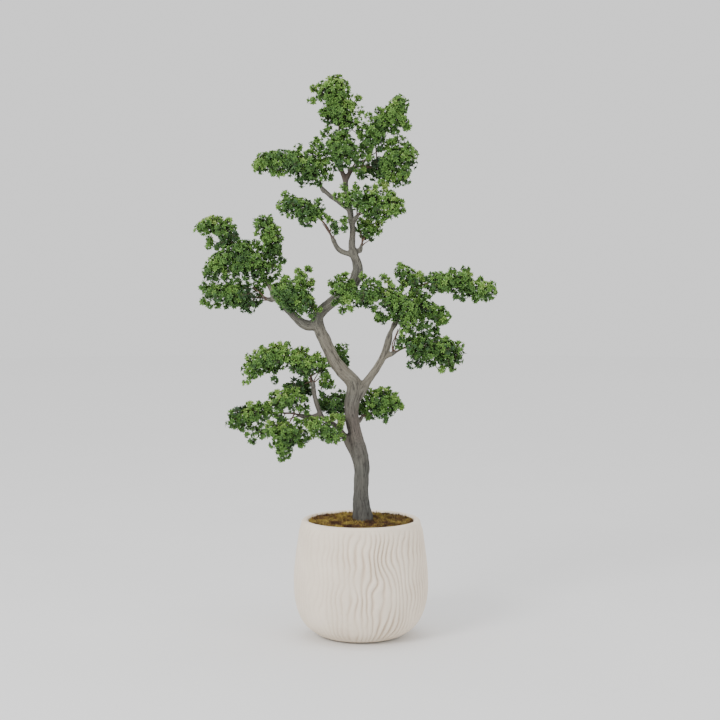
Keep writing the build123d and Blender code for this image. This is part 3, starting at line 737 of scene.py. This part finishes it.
# leaves outside the CAD's leaf masses, in millimetres: tufts as (x, y, z, radius), single sprigs as (x, y, z)
TUFTS = {
    "crown_tip": [
        (-72, -4, 802, 6), (-70, -4, 820), (-3, 2, 806, 6), (-18, 2, 812), (0, 2, 787, 8), (-5, 2, 774, 6),
        (-57, -4, 785, 6), (-45, -2, 832), (-12, 2, 796, 6)],
    "crown_heart": [
        (-6, -6, 768, 6), (-3, -4, 757, 6), (2, -4, 735, 6), (-46, -8, 690, 6), (3, -8, 702, 7),
        (-60, -8, 722, 7), (-48, -6, 763, 6), (-54, -8, 755, 8), (-64, -8, 745, 8), (-71, -8, 736, 7),
        (-60, -10, 735, 8), (-52, -12, 724, 9), (-46, -14, 712, 8), (-38, -14, 703, 6), (2, -16, 722, 7),
        (-4, -16, 712, 7), (-8, -14, 700, 7), (0, -12, 692, 6), (12, -10, 719), (-14, -8, 740, 8),
        (-44, -8, 748, 7)],
    "crown_left_leaves": [
        (-92, -4, 733, 6), (-118, 2, 726), (-130, 0, 697, 6), (-119, 0, 695), (-105, -4, 697, 6),
        (-63, -4, 680, 7), (-57, -5, 690, 7), (-50, -5, 698, 8), (-72, -4, 685), (-54, -6, 712, 8)],
    "crown_horn": [
        (11, -2, 779, 6), (6, -2, 764, 6), (1, -2, 750, 6), (25, -2, 788, 6), (50, 0, 757, 6), (43, 0, 760),
        (69, -4, 763), (28, -2, 732), (12, -2, 728, 6), (34, 0, 786, 6), (66, 0, 798)],
    "crown_wing": [
        (56, 0, 746, 6), (65, 0, 742), (43, 0, 742, 6), (37, 0, 734, 6), (52, 0, 736, 7), (28, 8, 714, 6),
        (54, 0, 680), (78, 0, 722), (30, 6, 690, 6)],
    "low_crown_leaves": [
        (29, -18, 681, 6), (35, -20, 675, 7), (20, -20, 674, 6), (8, -22, 673, 6), (-8, -24, 675),
        (-25, -23, 673, 6), (-35, -25, 661, 6), (34, -20, 629, 6), (39, -20, 634), (8, -22, 633, 6),
        (46, -20, 664, 6), (60, -22, 640), (58, -22, 652)],
    "small_left_leaves": [
        (-106, -2, 663), (-112, -2, 664), (-105, -2, 633), (-93, -2, 627), (-64, -2, 654), (-59, -3, 643, 6),
        (-56, -6, 632, 6), (-47, -8, 627, 6), (-40, -10, 619, 6), (-37, -12, 611), (-25, -14, 626),
        (-25, -14, 614), (-88, -2, 624), (-66, -2, 634)],
    "small_right_leaves": [(0, 12, 624, 6), (-5, 12, 616), (12, 12, 626), (27, 14, 622), (25, 14, 603)],
    "plume_outer": [
        (-227, 4, 598, 6), (-226, 4, 589, 6), (-215, 4, 586, 7), (-206, 4, 590, 6), (-197, 4, 625),
        (-190, 4, 614), (-189, 4, 603, 6), (-184, 2, 597)],
    "plume_inner": [
        (-157, 4, 592, 6), (-152, 6, 584, 6), (-153, 8, 608), (-136, 8, 628), (-145, 8, 600),
        (-150, 6, 572, 6), (-124, 8, 612)],
    "left_dome": [
        (-195, -4, 534, 6), (-183, -4, 535, 6), (-170, -4, 536, 6), (-157, -4, 534, 6), (-171, -2, 592, 7),
        (-180, -2, 591, 6), (-228, -4, 541, 7), (-215, -4, 537, 7), (-203, -4, 541, 8), (-199, -6, 550, 6),
        (-186, -5, 544, 8), (-172, -5, 541, 8), (-158, -4, 543, 7), (-147, -4, 540, 7), (-136, -4, 537, 7),
        (-126, -4, 543, 7), (-123, -2, 555, 8), (-118, 0, 566, 6), (-131, 2, 565), (-114, -4, 539),
        (-166, -6, 555, 8), (-196, 2, 590, 7), (-160, -1, 580, 8), (-206, -4, 552, 8), (-232, -4, 550)],
    "left_skirt": [
        (-146, -2, 529), (-190, -4, 527, 6), (-236, -4, 505), (-226, -4, 500), (-213, -4, 500, 6),
        (-201, -4, 501), (-174, -5, 494), (-165, -6, 493), (-157, -3, 503, 6), (-151, -2, 506),
        (-157, 2, 525), (-150, 2, 518), (-181, -4, 528, 7), (-170, -4, 529, 6), (-222, -4, 529, 6),
        (-205, -4, 527, 6), (-235, -4, 527)],
    "left_front_leaves": [
        (-104, -25, 545), (-110, -25, 540), (-93, -26, 551), (-78, -24, 554, 6), (-73, -24, 534, 6),
        (-75, -24, 526), (-80, -26, 514), (-121, -26, 507), (-114, -26, 500), (-104, -27, 496, 6),
        (-90, -26, 490, 6), (-73, -26, 485, 6), (-65, -24, 494), (-126, -26, 527, 6)],
    "trunk_veil": [
        (-33, -36, 542, 6), (-23, -36, 543, 6), (-14, -36, 535, 6), (-43, -36, 533), (-40, -36, 520, 6),
        (-28, -38, 493, 6), (-16, -38, 497), (-3, -38, 503), (8, -36, 502), (4, -32, 543, 6),
        (6, -32, 534, 6), (15, -30, 536, 7), (-38, -38, 505, 6)],
    "right_heart": [
        (28, -22, 490, 7), (32, 10, 476), (24, 10, 478), (26, -26, 533, 7), (33, -24, 542), (41, -22, 536, 6),
        (29, -24, 524, 6), (46, -20, 527, 6), (58, -18, 523, 6), (63, -14, 530), (20, -24, 495, 6),
        (27, -24, 487, 6), (34, -22, 481), (42, -20, 485), (50, -20, 482), (70, -16, 513, 7),
        (80, -14, 513, 6), (85, -12, 506, 6), (60, -20, 485, 8), (63, -18, 461, 7), (58, -14, 450, 6),
        (75, -18, 462, 7), (86, -16, 466, 7), (22, -26, 513, 8), (84, -14, 492, 8), (90, -12, 480, 8)],
    "right_crest": [
        (58, 6, 559), (88, 6, 545, 6), (92, 6, 538), (95, 4, 529), (89, 0, 515), (98, 0, 513),
        (78, 4, 520, 6)],
    "far_right": [
        (137, 0, 550), (149, 0, 550), (155, 0, 553), (161, 0, 546), (178, 0, 537, 6), (190, 0, 536),
        (194, 0, 531), (107, 0, 521), (115, 0, 521), (142, 0, 513, 6), (151, 0, 510), (172, 0, 509),
        (160, 0, 536, 6), (120, 0, 523, 6)],
    "right_shoulder": [
        (90, -8, 468, 8), (100, -6, 470, 8), (112, -2, 463, 7), (115, 0, 473, 6), (104, -4, 458, 7),
        (113, 0, 452), (122, 4, 493), (124, 2, 475), (104, 0, 482, 8), (92, -6, 455, 6)],
    "right_low_leaves": [
        (78, -9, 452, 6), (89, -9, 453, 6), (98, -6, 450, 6), (74, -9, 411), (86, -9, 411), (107, -4, 412, 6),
        (121, -3, 403, 6), (130, -3, 401), (136, -2, 404), (147, -2, 417), (149, 0, 440), (128, -2, 447),
        (119, -2, 445, 6), (58, -8, 439), (64, -10, 447, 6), (104, -5, 444, 6), (112, -4, 422, 7)],
    "upper_tier_tip": [
        (-171, -6, 385, 6), (-162, -6, 396, 6), (-150, -6, 399, 6), (-140, -6, 402, 6), (-130, -6, 403, 6),
        (-120, -6, 407, 6), (-132, -6, 438), (-122, -6, 441), (-110, -6, 440, 6), (-146, -6, 433),
        (-167, -6, 421), (-100, -6, 430, 6), (-134, -4, 392), (-129, -3, 388)],
    "upper_tier_mid": [
        (-58, 2, 384, 6), (-92, -4, 434), (-83, -4, 433), (-100, -4, 405, 6), (-91, -4, 399, 6),
        (-82, -4, 393), (-66, -3, 424), (-58, -3, 418, 6), (-55, -4, 408, 7), (-57, -2, 398, 6),
        (-50, -2, 393, 6), (-48, 0, 386, 6), (-52, 2, 377, 7), (-59, 3, 373), (-45, 2, 379)],
    "behind_trunk": [(-34, 32, 434), (-25, 32, 434)],
    "upper_tier_shade": [(-81, 22, 380, 6), (-78, 22, 368, 6), (-112, 22, 375), (-92, 22, 384)],
    "mid_tier_mass": [
        (-140, -12, 352, 6), (-137, -12, 340, 7), (-128, -14, 336, 7), (-120, -10, 331), (-132, -14, 364),
        (-125, -14, 370), (-118, -14, 346, 7), (-104, -14, 346, 6), (-92, -13, 346), (-82, -10, 350, 6),
        (-81, -8, 340), (-84, -12, 360, 7), (-110, -14, 371, 6), (-96, -12, 372, 6)],
    "mid_tier_tip": [
        (-164, 0, 302, 6), (-194, 2, 337), (-196, 2, 321, 6), (-186, 2, 318, 6), (-178, 2, 314, 6),
        (-167, 2, 317, 6), (-170, 0, 305), (-158, 0, 310), (-150, 0, 315, 6), (-148, 0, 304), (-162, -2, 296),
        (-168, 2, 350), (-153, 0, 350), (-142, 0, 331, 7), (-150, 0, 324, 6), (-143, 0, 343, 6)],
    "mid_tier_hang": [
        (-133, -6, 298), (-131, -6, 291), (-95, -6, 326, 6), (-85, -8, 325, 6), (-90, -8, 291, 6),
        (-95, -6, 299, 6), (-82, -9, 299, 6), (-85, -9, 309, 7), (-74, -12, 305), (-110, -6, 275),
        (-75, -12, 320, 6), (-137, -6, 323, 6), (-116, -6, 326, 6)],
    "front_leaves": [
        (-50, -24, 331, 6), (-40, -22, 333, 6), (-31, -20, 333), (-30, -22, 324), (-32, -25, 316, 6),
        (-28, -25, 305), (-36, -27, 300), (-48, -27, 299), (-62, -25, 330), (-56, -26, 306, 6),
        (-68, -26, 314)],
    "back_leaves": [
        (-61, 22, 352, 7), (-59, 22, 343, 6), (-57, 25, 362), (-55, 25, 340, 6), (-45, 25, 336),
        (-28, 25, 338, 6), (-27, 25, 356), (-25, 25, 328)],
    "lower_right_leaves": [
        (-6, 18, 338, 6), (-2, 18, 346, 6), (-4, 18, 337), (5, 18, 340, 6), (10, 20, 331), (40, 20, 375),
        (42, 20, 369), (57, 20, 338), (60, 20, 345), (30, 20, 331), (36, 20, 327), (10, 20, 368),
        (52, 20, 361)],
}
# places in the leaf masses that are open, seen from the front: (x, z, radius) in millimetres
OPEN = {
    "crown_tip": [(-24, 838, 10), (-11, 828, 9), (-10, 811, 5), (-47, 838, 5)],
    "crown_heart": [(-22, 746, 5)],
    "crown_left_leaves": [(-155, 722, 7), (-119, 709, 4)],
    "low_crown_leaves": [(61, 661, 7)],
    "crown_wing": [(77, 699, 5), (17, 697, 5)],
    "crown_horn": [(71, 790, 7)],
    "plume_outer": [(-240, 627, 6), (-213, 634, 6)],
    "small_right_leaves": [(22, 599, 8)],
    "trunk_veil": [(-4, 527, 8)],
    "right_low_leaves": [(152, 430, 6)],
    "behind_trunk": [(-29, 402, 6)],
    "upper_tier_shade": [(-95, 387, 6)],
}
# leaf masses that stand in the shade of others, and how much darker they are
SHADED = {"upper_tier_shade": 0.22, "back_leaves": 0.16, "behind_trunk": 0.12, "right_shoulder": 0.06,
          "left_skirt": 0.06, "small_left_leaves": 0.06, "lower_right_leaves": 0.07, "crown_heart": 0.03,
          "left_dome": 0.1, "crown_wing": 0.09, "right_low_leaves": 0.06}
JOINTS = {j["child"]: np.array(j["pos_m"]) for j in frame["joints"]}
BODIES = frame["record"]["behaviour"]["bodies"]
LEAF_ROWS = ((0.0, 0.14), (0.34, 0.9), (0.66, 0.84))  # shares of a leaf's length, and how wide it is there
# the outer and inner leaves of a rosette: fewest, most, length and width in millimetres, angle they rise at
WHORLS = ((6, 8, 5.9, 2.6, 0.22), (4, 5, 4.2, 2.2, 0.78))
ROSETTE_KINDS = 14
SKIN_POINTS = 3000  # places tried on the skin of each leaf mass
CREASE_POINTS = 1400  # of them, those that hollows are looked for between
SPRIG_SPACING = 0.0079  # the least distance between sprigs
CREASE = 0.016  # hollows in a leaf mass narrower than this are filled
MOST_FILLED = 260  # places tried in the hollows of each leaf mass
TUFT_TRIES = 26  # places tried in a tuft
SPRIG_SIZE = 4.2  # how much of a tuft's radius its outer sprigs take up, in millimetres
FULLER = 1.35  # the leaves spread this much further front to back than the CAD's leaf mass
SKIN_INSET = 0.0022  # sprigs sit this far inside the CAD's leaf mass, so that their leaves end at its skin


def leaf_shape(length, width, fold, curl):
    """One leaf along +X from its base at the origin, folded along its midrib: points, triangles."""
    pts, tris = [], []
    for u, w in LEAF_ROWS:
        x, lift, edge = u * length, curl * length * u * u, w * width / 2
        pts += [(x, -edge, lift + fold * edge), (x, 0, lift), (x, edge, lift + fold * edge)]
    pts.append((length, 0, curl * length))
    for a in range(0, 3 * len(LEAF_ROWS) - 3, 3):
        for k in (a, a + 1):
            tris += [(k, k + 3, k + 4), (k, k + 4, k + 1)]
    last = len(pts) - 1
    tris += [(last - 3, last, last - 2), (last - 2, last, last - 1)]
    return np.array(pts), np.array(tris)


def swing(points, angle, i, j):
    """Turns points by an angle from axis i towards axis j."""
    c, s = math.cos(angle), math.sin(angle)
    points[:, i], points[:, j] = points[:, i] * c - points[:, j] * s, points[:, i] * s + points[:, j] * c


def rosette_shape(rng):
    """A cupped rosette about 10 mm across, facing +Z: points, triangles, per-point tone and heart."""
    pts, tris, heart, tone = [], [], [], []
    count = 0
    start = rng.uniform(0, 2 * math.pi)
    numbers = [rng.integers(fewest, most + 1) for fewest, most, *_ in WHORLS]
    along = np.append(np.repeat([u for u, _ in LEAF_ROWS], 3), 1.0)
    for whorl, (n, (_, _, length, width, rise)) in enumerate(zip(numbers, WHORLS)):
        for k in range(n):
            p, f = leaf_shape(length * rng.uniform(0.72, 1.14) * MM, width * rng.uniform(0.85, 1.12) * MM,
                              rng.uniform(0.15, 0.45), rng.uniform(-0.15, 0.28))
            swing(p, rise + rng.uniform(-0.24, 0.26), 0, 2)
            swing(p, start + 2 * math.pi * (k + 0.5 * whorl + rng.uniform(-0.14, 0.14)) / n, 0, 1)
            pts.append(p)
            tris.append(f + count)
            count += len(p)
            heart.append(np.full(len(p), 0.15 + 0.6 * whorl) * rng.uniform(0.6, 1))
            tone.append(rng.uniform(-0.10, 0.10) + 0.36 * along - 0.17)
    return np.vstack(pts), np.vstack(tris), np.concatenate(tone), np.concatenate(heart)


SEEDED = np.random.default_rng(5)
ROSETTES = [rosette_shape(SEEDED) for _ in range(ROSETTE_KINDS)]


def basis(axis, spin):
    """Two directions square to an axis, turned by an angle."""
    helper = np.array([0.0, 0, 1]) if abs(axis[2]) < 0.9 else np.array([1.0, 0, 0])
    a = unit(np.cross(helper, axis))
    b = np.cross(axis, a)
    return a * math.cos(spin) + b * math.sin(spin), -a * math.sin(spin) + b * math.cos(spin)


def surface_points(node, count, rng):
    """Points spread over a CAD leaf mass, with the direction outwards at each."""
    mesh = frame["nodes"][node].data
    mesh.calc_loop_triangles()
    co = mesh_values(mesh.vertices, "co", 3).astype(float)
    tri = mesh_values(mesh.loop_triangles, "vertices", 3, np.int32)
    a, b, c = (co[tri[:, k]] for k in range(3))
    cross = np.cross(b - a, c - a)
    area = np.linalg.norm(cross, axis=1)
    keep = area > 1e-9
    a, b, c, cross, area = a[keep], b[keep], c[keep], cross[keep], area[keep]
    pick = rng.choice(len(area), count, p=area / area.sum())
    u, v = np.sqrt(rng.random(count)), rng.random(count)
    pts = a[pick] * (1 - u)[:, None] + b[pick] * (u * (1 - v))[:, None] + c[pick] * (u * v)[:, None]
    return pts, cross[pick] / area[pick][:, None]


def creases(skin, out, rng):
    """Points in the hollows of a skin, halfway between places that face each other, and the way out of each."""
    across = skin[None] - skin[:, None]
    gap = np.linalg.norm(across, axis=2) + 1e-9
    first = (across * out[:, None]).sum(2) / gap
    second = -(across * out[None]).sum(2) / gap
    a, b = np.nonzero((gap < CREASE) & (gap > 0.003) & (first > 0.25) & (second > 0.25))
    pick = rng.permutation(len(a))[:MOST_FILLED]
    a, b = a[pick], b[pick]
    places = (skin[a] + skin[b]) / 2 + rng.normal(0, 0.0012, (len(a), 3))
    return places, unit(out[a] + out[b] + rng.normal(0, 0.2, (len(a), 3)))


def tuft_places(tuft, centre, hub, rng):
    """Where the sprigs of one tuft, or a single sprig, sit, and the way each faces."""
    x, y, z, radius = (*tuft, 0)[:4]
    heart = np.array([x, y, z]) * MM
    away = unit(unit(heart - centre) + 0.6 * unit(heart - hub))
    count = TUFT_TRIES if radius else 1
    way = unit(rng.normal(0, 1, (count, 3)))
    spread = way * (rng.random(count) ** 0.4 * (radius - SPRIG_SIZE) * MM)[:, None]
    spread[:, 1] *= 0.7
    spread[0] = 0
    return heart + spread, unit(away + (0, -0.5, 0.2) + rng.normal(0, 0.4, (count, 3)))


def sprig_places(node, hub, rng):
    """Where the sprigs of a leaf mass sit, the way each faces, how deep inside the mass it is (0 to 1) and
    whether it is a free tuft, leafy all round."""
    skin, out = surface_points(node, SKIN_POINTS, rng)
    shallow = rng.random(len(skin)) < 0.70
    depth = np.where(shallow, rng.uniform(-0.0025, 0.0025, len(skin)), rng.uniform(0.003, 0.009, len(skin)))
    swell = 0.0048 * noise(skin * 75, 33)
    fill, fill_out = creases(skin[:CREASE_POINTS], out[:CREASE_POINTS], rng)
    centre = skin.mean(0)
    # where places crowd, the earlier one is kept: tufts come first, then hollows, then the skin
    groups = [(fill, fill_out, rng.uniform(0, 0.4, len(fill)), np.zeros(len(fill), bool)),
              (skin - out * (depth - swell + SKIN_INSET)[:, None], out, np.clip(depth / 0.009, 0, 1),
               np.zeros(len(skin), bool))]
    for tuft in TUFTS.get(node, []):
        places, facing = tuft_places(tuft, centre, hub, rng)
        groups.insert(0, (places, facing, np.zeros(len(places)), np.ones(len(places), bool)))
    places, facing, inside, free = (np.concatenate(column) for column in zip(*groups))
    places[:, 1] = centre[1] + FULLER * (places[:, 1] - centre[1])
    for x, z, r in OPEN.get(node, []):
        clear = np.hypot(places[:, 0] - x * MM, places[:, 2] - z * MM) > r * MM
        places, facing, inside, free = places[clear], facing[clear], inside[clear], free[clear]
    kept = spread_out(places, SPRIG_SPACING)
    return places[kept], facing[kept], inside[kept], free[kept]


def spread_out(points, spacing):
    """The indices of points that keep a spacing from each other, taken in order."""
    kept = np.empty_like(points)
    chosen = []
    for i, p in enumerate(points):
        n = len(chosen)
        if n == 0 or ((kept[:n] - p) ** 2).sum(1).min() > spacing ** 2:
            kept[n] = p
            chosen.append(i)
    return chosen


def root_piece(name, pivot, out, length):
    """The limb's tip drawn out into the first length of wire, which bends at the joint."""
    root = Soup()
    steps = np.linspace(-0.0045, length + 0.001, 14)
    reach = min(length, 0.011)
    flare = np.interp(steps, [-0.0045, 0, 0.3 * reach, 0.65 * reach, reach],
                      [0.0034, 0.0036, 0.0028, 0.0018, 0.0014])
    centres = pivot + out * steps[:, None]
    root.tube(centres + 0.0004 * noise_vector(centres * 130, (0, 9, 18), 70), flare, 16)
    piece = root.build(name + "_root")
    co = np.vstack(root.verts)
    along = ((co - pivot) * out).sum(1)
    a, b = basis(out, 0)
    round_it = np.stack([(co - pivot) @ a, (co - pivot) @ b, along], -1)
    ridges = 1 - np.abs(noise(round_it * 1000 * (0.5, 0.5, 0.06), 77))
    point_values(piece, "grain", round_it * GRAIN_SCALE)
    # painted shade in the grooves between the root's fibres
    point_values(piece, "crevice_shade", np.clip((ridges - 0.7) / 0.3, 0, 1))
    point_values(piece, "twiggy", np.clip((along - 0.2 * reach) / (0.7 * reach), 0, 1))
    piece.data.materials.append(BARK)
    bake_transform(piece)


def sprig(foliage, twigs, place, axis, tone, free, rng):
    """Three or four rosettes on short stalks round one place; a free tuft has six or seven, all round it."""
    several = rng.integers(6, 8) if free else 4 if rng.random() < 0.35 else 3
    spin = rng.uniform(0, 2 * math.pi)
    base = place - axis * 0.0038
    for k in range(several):
        if free:
            # evenly over a ball, from the top of the axis round to its foot
            rise = 1 - (2 * k + 0.6) / several
            a, _ = basis(axis, spin + 2.4 * k)
            facing = unit(axis * rise + a * math.sqrt(1 - rise * rise) + rng.normal(0, 0.22, 3))
            seat = place + facing * 0.0032 * rng.uniform(0.5, 1.7)
        else:
            a, _ = basis(axis, spin + 2 * math.pi * k / several)
            seat = place + a * 0.0044 * rng.uniform(0.85, 1.2) + axis * rng.uniform(-0.0014, 0.0012)
            facing = unit(axis + a * rng.uniform(0.4, 0.85))
        stalk = np.array([base, (base + seat) / 2 - axis * 0.0004, seat - facing * 0.0002])
        twigs.tube(stalk, [0.0005, 0.0004, 0.00035], 4, thin=1.0)
        pts, tris, leaf_tone, heart = ROSETTES[rng.integers(len(ROSETTES))]
        x, y = basis(facing, rng.uniform(0, 2 * math.pi))
        size = rng.uniform(0.85, 1.14)
        placed = seat + size * (pts[:, :1] * x + pts[:, 1:2] * y + pts[:, 2:3] * facing)
        foliage.add(placed, tris, tone=np.clip(tone + leaf_tone + rng.uniform(-0.05, 0.05), 0, 1), heart=heart)
    return base


def twiglet(twigs, grown, hub, base, rng):
    """A twig from the nearest one already grown to a sprig's base; the next twiglets can leave from it."""
    gap = np.linalg.norm(grown - base, axis=1) + 0.25 * np.linalg.norm(grown - hub, axis=1)
    start = grown[gap.argmin()]
    bend = rng.normal(0, 0.0010, 3) + (0, 0, -0.0010)
    t = np.linspace(0, 1, 6)[:, None]
    curve = start * (1 - t) ** 2 + 2 * ((start + base) / 2 + bend) * t * (1 - t) + base * t ** 2
    twigs.tube(curve, np.linspace(0.00065, 0.0005, 6), 5, thin=0.8)
    return np.vstack([grown, curve[2:]])


def wire_branches(name, pivot, length, twigs):
    """The spray's wires and thinner stems; returns points along them, from which twiglets can leave."""
    branches = []
    for k, wire in enumerate(WIRES[name]):
        wire = np.array(wire, float) * MM
        if k == 0:
            route = thin_route(np.vstack([pivot[None], wire]))
            route = route[np.linalg.norm(route - pivot, axis=1) > length * 0.8]
        else:
            route = thin_route(wire)
        wobble = 0.0008 * noise_vector(route * 110, (0, 30, 60), 60 + k)
        wobble[0] = 0
        twigs.tube(route + wobble, np.linspace(0.0015 if k == 0 else 0.0011, 0.0006, len(route)), 8, thin=0.0)
        branches.append(route + wobble)
    for k, stray in enumerate(STRAYS.get(name, [])):
        route = thin_route(np.array(stray, float) * MM)
        route = route + 0.0009 * noise_vector(route * 120, (0, 30, 60), 66 + k)
        twigs.tube(route, np.linspace(0.0011, 0.0006, len(route)), 7, thin=0.0)
        branches.append(route[2:])
    return np.vstack(branches)


def foliage_of(label, hub, branches, twigs, rng):
    """The leaves of one CAD leaf mass, with the twiglets that carry them."""
    foliage = Soup()
    places, facing, inside, free = sprig_places(label, hub, rng)
    reach = np.linalg.norm(places - hub, axis=1)
    far = np.clip((reach - reach.min()) / max(np.ptp(reach), 0.02), 0, 1)
    order = np.argsort([np.linalg.norm(branches - p, axis=1).min() for p in places])
    grown = branches
    for i in order:
        axis = unit(facing[i] + (0, 0, 0.3) + rng.normal(0, 0.25, 3))
        mood = 0.15 * noise((places[i] * 26)[None], 80)[0] - SHADED.get(label, 0)
        # paler at the ends; painted light where it faces up, painted shade deep inside the mass
        tone = 0.44 + 0.14 * far[i] + 0.18 * axis[2] - 0.26 * inside[i] + mood + rng.uniform(-0.10, 0.11)
        base = sprig(foliage, twigs, places[i], axis, tone, free[i], rng)
        grown = twiglet(twigs, grown, hub, base, rng)
    return foliage.build(label + "_foliage")


def spray(name):
    """One spray: its root, wires and twigs, and the leaves of each of its leaf masses."""
    body = name + "_spray"
    rng = np.random.default_rng(sum((i + 1) * ord(ch) for i, ch in enumerate(name)))
    pivot = JOINTS[body]
    hub = np.array(WIRES[name][0][0], float) * MM
    length = np.linalg.norm(hub - pivot)
    root_piece(name, pivot, unit(hub - pivot), length)
    twigs = Soup()
    branches = wire_branches(name, pivot, length, twigs)
    for label in BODIES[body]:
        if label == name + "_stem":
            continue
        leaves = foliage_of(label, hub, branches, twigs, rng)
        leaves.data.materials.append(LEAF)
        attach(leaves, body)
        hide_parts(label)
    twig_obj = twigs.build(name + "_twigs")
    twig_obj.data.materials.append(TWIG)
    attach(twig_obj, body)
    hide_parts(name + "_stem")


for name in WIRES:
    spray(name)

# ------------------------------------------------------------------ moss
MOSS_RADIUS = 0.0792
MOSS_TOP = 0.1738
MOSS_SIDES = 300
MOSS_RINGS = 120
MOSS_SPOTS = 5200
TRUNK_X = 0.002  # the trunk's middle at the moss


def moss_height(x, y):
    """Height of the lumpy moss above the planter's foot, falling to the wall and rising to the trunk."""
    r = np.hypot(x, y)
    where = np.stack([x, y, np.zeros_like(x)], -1)
    lumps = 0.0021 * layered(where * 62, 2, 21) + 0.0011 * noise(where * 210, 24)
    lumps = lumps + 0.0005 * noise(where * 520, 26)
    wall = np.clip((MOSS_RADIUS - r) / 0.007, 0, 1)
    trunk = np.clip((0.030 - np.hypot(x - TRUNK_X, y)) / 0.016, 0, 1)
    return MOSS_TOP + lumps + 0.0022 * trunk ** 2 - 0.0042 * (1 - np.sqrt(1 - (1 - wall) ** 2))


def moss_bed():
    """The mat: its lumpy top, an edge turned down along the wall, and a flat underside."""
    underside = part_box("moss_mat")[0].z + 0.0006
    rr = np.linspace(0.006, MOSS_RADIUS, MOSS_RINGS)
    a = np.arange(MOSS_SIDES) / MOSS_SIDES * 2 * math.pi
    x, y = (rr[:, None] * np.cos(a)).ravel(), (rr[:, None] * np.sin(a)).ravel()
    top = np.stack([x, y, moss_height(x, y)], -1)
    skirt, inner = top[-MOSS_SIDES:].copy(), top[:MOSS_SIDES].copy()
    skirt[:, 2] = inner[:, 2] = underside
    verts = np.vstack([top, skirt, inner, top[:MOSS_SIDES]])
    bed = array_object("moss_bed", verts, ring_quads(MOSS_RINGS + 3, MOSS_SIDES))
    # painted shade: the bed under the strands gets a low tone, which darkens it as the shade among them
    point_values(bed, "tone", np.full(len(verts), 0.25))
    return bed


def moss_tufts():
    """Strands of moss: short curled blades in tufts."""
    rng = np.random.default_rng(3)
    strands = Soup()
    spots = 0.0795 * np.sqrt(rng.random(MOSS_SPOTS)) * np.exp(2j * math.pi * rng.random(MOSS_SPOTS))
    spots = spots[np.abs(spots - TRUNK_X) > 0.0150]
    px, py = spots.real, spots.imag
    pz = moss_height(px, py)
    clump = noise(np.stack([px, py, px * 0], -1) * 150, 31)
    # painted shade: the strands are darker near the trunk and towards the right side, away from the key light
    by_trunk = np.clip((0.028 - np.abs(spots - TRUNK_X)) / 0.012, 0, 1)
    moss_shade = 0.26 * np.clip((px + 0.01) / 0.05, 0, 1) + 0.2 * by_trunk
    for i in range(len(px)):
        lean = rng.normal(0, 0.55, 3)
        for _ in range(3 if clump[i] < 0 else 5):
            grow = unit(np.array([0, 0, 1.0]) + lean + rng.normal(0, 0.55, 3))
            bend = unit(grow + rng.normal(0, 0.9, 3))
            length = rng.uniform(0.0016, 0.0036) * (1 + 0.35 * clump[i])
            foot = np.array([px[i], py[i], pz[i] - 0.0004]) + rng.normal(0, 0.0006, 3)
            tip = foot + grow * length
            end = tip + bend * length * 0.8
            across, _ = basis(grow, rng.uniform(0, 6.283))
            w = rng.uniform(0.00022, 0.0004)
            blade = np.array([foot - across * w, foot + across * w, tip - across * w, tip + across * w, end])
            strands.add(blade, np.array([(0, 1, 3), (0, 3, 2), (2, 3, 4)]),
                        tone=np.clip(0.52 + 0.4 * clump[i] - moss_shade[i] + rng.uniform(-0.3, 0.3), 0, 1))
    return strands.build("moss_tufts")


for piece in (moss_bed(), moss_tufts()):
    piece.data.materials.append(MOSS)
    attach(piece, "tree")
    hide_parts("moss_mat")

# ------------------------------------------------------------------ camera, floor and light
camera = bpy.data.objects.new("camera", bpy.data.cameras.new("camera"))
bpy.context.scene.collection.objects.link(camera)
camera.location = (0, -2.6, 0.61)
aim = Vector((0.0, 0, 0.4175))
camera.rotation_euler = (aim - camera.location).to_track_quat("-Z", "Y").to_euler()
camera.data.lens = 87.1
camera.data.sensor_width = 36
camera.data.shift_x = -0.0014
bpy.context.scene.camera = camera

FLOOR_RINGS = (0.002, 0.3, 0.6, 0.9, 1.2, 1.6, 2.0, 2.6, 3.4, 4.4, 6.0)
FLOOR_SIDES = 96


def floor():
    """A round floor that is paler far away, where it meets the white of the background."""
    turns = np.tile(np.arange(FLOOR_SIDES) / FLOOR_SIDES * 2 * math.pi, len(FLOOR_RINGS))
    reach = np.repeat(FLOOR_RINGS, FLOOR_SIDES)
    verts = np.stack([reach * np.cos(turns), reach * np.sin(turns), reach * 0], -1)
    disc = array_object("floor", verts, ring_quads(len(FLOOR_RINGS), FLOOR_SIDES)[:, ::-1])
    point_values(disc, "far", np.clip((reach - 0.9) / 3.0, 0, 1))
    m = Nodes("floor_pale", 0.9)
    near = m.ramp(m.noise(m.place(), 3, 2), [(0.3, grey(0.795)), (0.7, grey(0.815))])
    m.colour(m.mix(m.attribute("far"), near, grey(0.95)))
    disc.data.materials.append(m.material)


def softbox(name, place, aim_at, size, power):
    """A round soft light that faces a place."""
    light = bpy.data.lights.new(name, "AREA")
    light.shape = "DISK"
    light.size = size
    light.energy = power
    obj = bpy.data.objects.new(name, light)
    obj.location = place
    obj.rotation_euler = (Vector(aim_at) - Vector(place)).to_track_quat("-Z", "Y").to_euler()
    bpy.context.scene.collection.objects.link(obj)


floor()
softbox("key", (-1.9, -2.4, 1.9), (0, 0, 0.35), 1.3, 76)
softbox("fill", (2.4, -1.6, 1.2), (0, 0, 0.4), 2.2, 16)
softbox("top", (0, 0.3, 2.8), (0, 0, 0.4), 2.0, 24)
world = bpy.data.worlds.new("studio")
world.use_nodes = True
world.node_tree.nodes["Background"].inputs["Color"].default_value = (1, 1, 1, 1)
world.node_tree.nodes["Background"].inputs["Strength"].default_value = 1.1
bpy.context.scene.world = world
